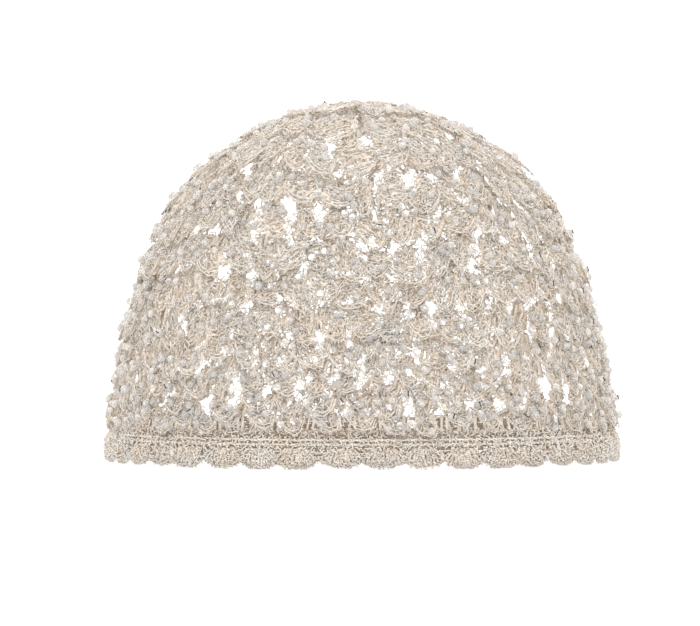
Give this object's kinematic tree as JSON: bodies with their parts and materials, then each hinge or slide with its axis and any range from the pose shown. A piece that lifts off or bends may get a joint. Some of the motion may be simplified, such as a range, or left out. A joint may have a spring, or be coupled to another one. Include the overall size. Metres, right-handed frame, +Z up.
{
  "type": "child's beaded crochet skullcap",
  "caption": "Child's round skullcap of openwork crochet with small clear beads, a hollow crown open below, a corded band and a scalloped edging to stand on.",
  "frame": {"origin": "centre of the rim, level with the tips of the scallops that the cap stands on", "axes": "+Z up through the middle of the crown, -Y to the front; the cap is alike all round"},
  "size_m": [0.1716, 0.1716, 0.1186],
  "materials": {
    "yarn": "matt crochet of fine greige cotton, twisted two-ply",
    "net_yarn": "matt openwork crochet of fine greige cotton, twisted two-ply",
    "band_yarn": "matt close crochet of fine greige cotton with two raised chain cords",
    "edging_yarn": "matt close crochet shells of fine greige cotton",
    "beads": "polished clear glass beads"
  },
  "bodies": {
    "root": {"crown_ring": "yarn", "crown_net": "net_yarn", "rim_band": "band_yarn", "scallop_edge": "edging_yarn"}
  },
  "joints": []
}
